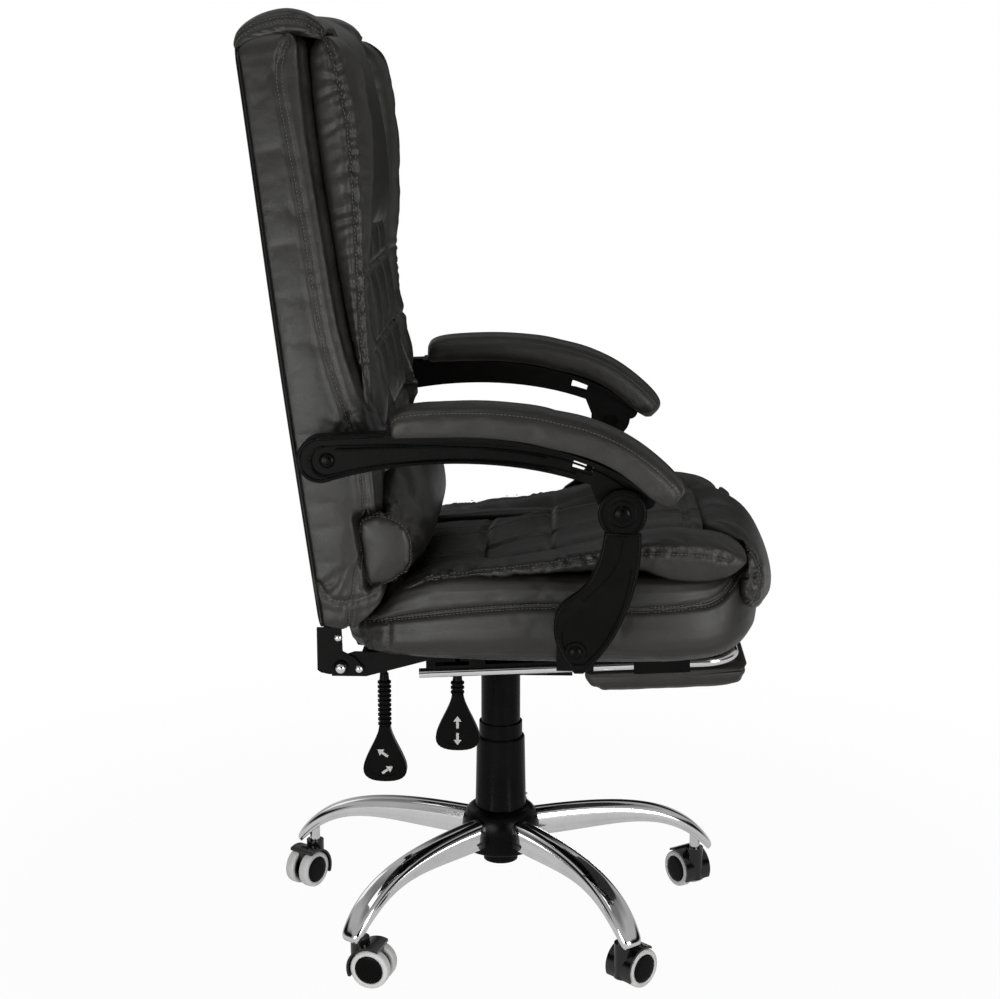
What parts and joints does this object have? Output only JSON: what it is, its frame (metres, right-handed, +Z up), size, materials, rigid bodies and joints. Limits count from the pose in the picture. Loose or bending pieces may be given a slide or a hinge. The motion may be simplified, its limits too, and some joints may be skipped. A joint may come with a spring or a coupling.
{
  "type": "office chair",
  "caption": "High backed upholstered swivel chair with a reclining back, linked armrests, a pull-out footrest, two levers and a chrome base on twin wheel casters.",
  "frame": {"origin": "on the floor under the axis of the column", "axes": "+X forward, the way the sitter faces; +Y to the sitter's left; +Z up along the column"},
  "size_m": [0.6534, 0.6594, 1.1866],
  "materials": {
    "chrome": "polished chrome plate",
    "steel": "plain steel",
    "black_steel": "satin black powder coat",
    "black_plastic": "fine grained black plastic",
    "leather": "soft charcoal upholstery leather with tone on tone stitching",
    "plywood": "raw plywood",
    "wheel": "light grey tread on a dark wheel"
  },
  "bodies": {
    "base": {"base_frame": "chrome", "stem_sockets": "chrome", "hub_cover": "black_plastic", "column_tube": "steel", "piston_rod": "chrome", "cover_lower": "black_plastic"},
    "cover_middle": {"cover_middle": "black_plastic"},
    "lift": {"lift_cylinder": "steel", "cover_upper": "black_plastic"},
    "lift_button": {"lift_button": "chrome"},
    "seat": {"mechanism": "black_steel", "seat_board": "plywood", "seat_cushion": "leather", "seat_centre_pad": "leather", "seat_bolsters": "leather", "seat_front_roll": "leather", "seat_bolts": "steel", "hinge_brackets": "black_steel", "pivot_bolts": "chrome", "footrest_guides": "black_plastic", "arm_brackets": "black_steel"},
    "strut": {"strut_cylinder": "black_steel"},
    "strut_rod": {"strut_rod": "chrome"},
    "lift_lever": {"lift_lever_rod": "steel", "lift_lever_sleeve": "black_plastic", "lift_lever_paddle": "black_plastic"},
    "recline_lever": {"recline_lever_rod": "steel", "recline_lever_sleeve": "black_plastic", "recline_lever_paddle": "black_plastic"},
    "footrest": {"footrest_tube": "chrome"},
    "footrest_pad": {"footrest_board": "plywood", "footrest_cushion": "leather", "footrest_clips": "black_plastic"},
    "back": {"back_panel": "leather", "back_board": "plywood", "back_cushion": "leather", "back_wings": "leather", "back_centre_pad": "leather", "head_pillow": "leather", "lumbar_pillow": "leather", "back_brackets": "black_steel", "arm_bosses": "black_plastic"},
    "arm_left": {"arm_frame_left": "black_plastic", "arm_pad_left": "leather", "arm_bolts_left": "black_steel"},
    "arm_right": {"arm_frame_right": "black_plastic", "arm_pad_right": "leather", "arm_bolts_right": "black_steel"},
    "support_left": {"support_left": "black_plastic"},
    "support_right": {"support_right": "black_plastic"},
    "caster_1": {"caster_housing_1": "black_plastic"},
    "wheels_1": {"caster_wheels_1": "wheel"},
    "caster_2": {"caster_housing_2": "black_plastic"},
    "wheels_2": {"caster_wheels_2": "wheel"},
    "caster_3": {"caster_housing_3": "black_plastic"},
    "wheels_3": {"caster_wheels_3": "wheel"},
    "caster_4": {"caster_housing_4": "black_plastic"},
    "wheels_4": {"caster_wheels_4": "wheel"},
    "caster_5": {"caster_housing_5": "black_plastic"},
    "wheels_5": {"caster_wheels_5": "wheel"}
  },
  "joints": [
    {"name": "seat_lift", "type": "slide", "parent": "base", "child": "lift", "axis": [0, 0, 1], "range_m": [-0.06, 0.02]},
    {"name": "cover_follow", "type": "slide", "parent": "base", "child": "cover_middle", "axis": [0, 0, 1], "range_m": [-0.031, 0.011]},
    {"name": "seat_swivel", "type": "hinge", "parent": "lift", "child": "seat", "pos_m": [0, 0, 0.348], "axis": [0, 0, 1], "continuous": true},
    {"name": "button_travel", "type": "slide", "parent": "lift", "child": "lift_button", "axis": [0, 0, -1], "range_m": [0, 0.0037]},
    {"name": "recline", "type": "hinge", "parent": "seat", "child": "back", "pos_m": [-0.187, 0, 0.409], "axis": [0, -1, 0], "range_deg": [0, 35]},
    {"name": "support_left_turn", "type": "hinge", "parent": "seat", "child": "support_left", "pos_m": [0.097, 0, 0.462], "axis": [0, -1, 0], "range_deg": [0, 54]},
    {"name": "arm_left_turn", "type": "hinge", "parent": "support_left", "child": "arm_left", "pos_m": [0.149, 0, 0.626], "axis": [0, -1, 0], "range_deg": [-49, 0]},
    {"name": "support_right_turn", "type": "hinge", "parent": "seat", "child": "support_right", "pos_m": [0.097, 0, 0.462], "axis": [0, -1, 0], "range_deg": [0, 54]},
    {"name": "arm_right_turn", "type": "hinge", "parent": "support_right", "child": "arm_right", "pos_m": [0.149, 0, 0.626], "axis": [0, -1, 0], "range_deg": [-49, 0]},
    {"name": "strut_tilt", "type": "hinge", "parent": "seat", "child": "strut", "pos_m": [0.04, 0.04, 0.371], "axis": [0, 1, 0], "range_deg": [0, 2]},
    {"name": "strut_stroke", "type": "slide", "parent": "strut", "child": "strut_rod", "axis": [1, 0, 0], "range_m": [0, 0.023]},
    {"name": "lift_lever_turn", "type": "hinge", "parent": "seat", "child": "lift_lever", "pos_m": [-0.048, -0.03, 0.4073], "axis": [-1, 0, 0], "range_deg": [0, 6], "stiffness_Nm_per_rad": 6, "springref_deg": -6.88},
    {"name": "recline_lever_turn", "type": "hinge", "parent": "seat", "child": "recline_lever", "pos_m": [-0.139, -0.03, 0.4073], "axis": [-1, 0, 0], "range_deg": [0, 6], "stiffness_Nm_per_rad": 6, "springref_deg": -6.88},
    {"name": "footrest_slide", "type": "slide", "parent": "seat", "child": "footrest", "axis": [0.9986, 0, 0.0523], "range_m": [0, 0.24]},
    {"name": "footrest_flip", "type": "hinge", "parent": "footrest", "child": "footrest_pad", "pos_m": [0.293, 0, 0.41723], "axis": [0, -1, 0], "range_deg": [0, 180]},
    {"name": "caster_1_swivel", "type": "hinge", "parent": "base", "child": "caster_1", "pos_m": [0.26776, 0.08186, 0.06], "axis": [0, 0, 1], "continuous": true},
    {"name": "wheels_1_roll", "type": "hinge", "parent": "caster_1", "child": "wheels_1", "pos_m": [0.25744, 0.09661, 0.025], "axis": [-0.8192, -0.5736, 0], "continuous": true},
    {"name": "caster_2_swivel", "type": "hinge", "parent": "base", "child": "caster_2", "pos_m": [0.00489, 0.27996, 0.06], "axis": [0, 0, 1], "continuous": true},
    {"name": "wheels_2_roll", "type": "hinge", "parent": "caster_2", "child": "wheels_2", "pos_m": [0.00801, 0.29768, 0.025], "axis": [-0.9848, 0.1736, 0], "continuous": true},
    {"name": "caster_3_swivel", "type": "hinge", "parent": "base", "child": "caster_3", "pos_m": [-0.26475, 0.09116, 0.06], "axis": [0, 0, 1], "continuous": true},
    {"name": "wheels_3_roll", "type": "hinge", "parent": "caster_3", "child": "wheels_3", "pos_m": [-0.27481, 0.07624, 0.025], "axis": [0.829, -0.5592, 0], "continuous": true},
    {"name": "caster_4_swivel", "type": "hinge", "parent": "base", "child": "caster_4", "pos_m": [-0.16851, -0.22362, 0.06], "axis": [0, 0, 1], "continuous": true},
    {"name": "wheels_4_roll", "type": "hinge", "parent": "caster_4", "child": "wheels_4", "pos_m": [-0.15112, -0.22828, 0.025], "axis": [0.2588, 0.9659, 0], "continuous": true},
    {"name": "caster_5_swivel", "type": "hinge", "parent": "base", "child": "caster_5", "pos_m": [0.1606, -0.22936, 0.06], "axis": [0, 0, 1], "continuous": true},
    {"name": "wheels_5_roll", "type": "hinge", "parent": "caster_5", "child": "wheels_5", "pos_m": [0.17333, -0.21663, 0.025], "axis": [-0.7071, 0.7071, 0], "continuous": true}
  ],
  "couplings": [
    {"joint": "cover_follow", "follows": "seat_lift", "ratio": 0.5},
    {"joint": "support_left_turn", "follows": "recline", "ratio": 1.516},
    {"joint": "support_right_turn", "follows": "recline", "ratio": 1.516},
    {"joint": "arm_left_turn", "follows": "recline", "ratio": -1.37},
    {"joint": "arm_right_turn", "follows": "recline", "ratio": -1.37},
    {"joint": "strut_tilt", "follows": "recline", "ratio": 0.0454},
    {"joint": "strut_stroke", "follows": "recline", "m_per_rad": 0.0363},
    {"joint": "footrest_flip", "follows": "footrest_slide", "rad_per_m": 13.09},
    {"joint": "button_travel", "follows": "lift_lever_turn", "m_per_rad": 0.0345}
  ]
}
